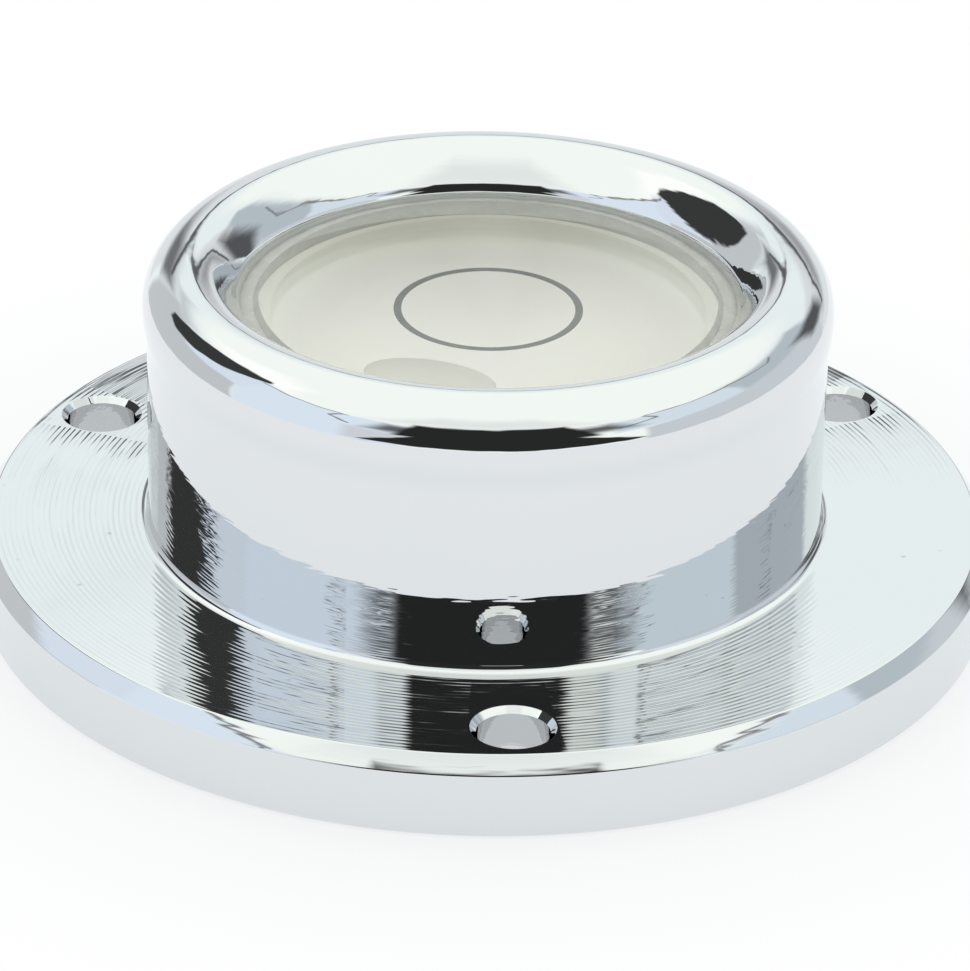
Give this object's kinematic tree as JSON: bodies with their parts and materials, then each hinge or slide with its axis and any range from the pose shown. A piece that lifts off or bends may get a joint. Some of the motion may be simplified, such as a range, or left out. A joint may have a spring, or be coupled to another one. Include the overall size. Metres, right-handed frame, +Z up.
{
  "type": "bullseye level",
  "caption": "Round spirit level in a bright-plated turned housing with a drilled mounting flange, a rounded lip and a glass vial with a target ring and an air bubble.",
  "frame": {"origin": "centre of the underside, on the turning axis", "axes": "+Z up along the turning axis, -Y towards the front screw hole, +X to its right"},
  "size_m": [0.06, 0.06, 0.0215],
  "materials": {
    "bright_plate": "polished",
    "clear_glass": "polished",
    "cream_enamel": "satin",
    "spirit": "polished",
    "air_bubble": "polished",
    "ring_grey": "matte",
    "cement": "satin"
  },
  "bodies": {
    "root": {"housing": "bright_plate", "vial_glass": "clear_glass", "vial_base": "cream_enamel", "vial_liquid": "spirit", "bubble": "air_bubble", "target_ring": "ring_grey", "vial_cement": "cement"}
  },
  "joints": []
}
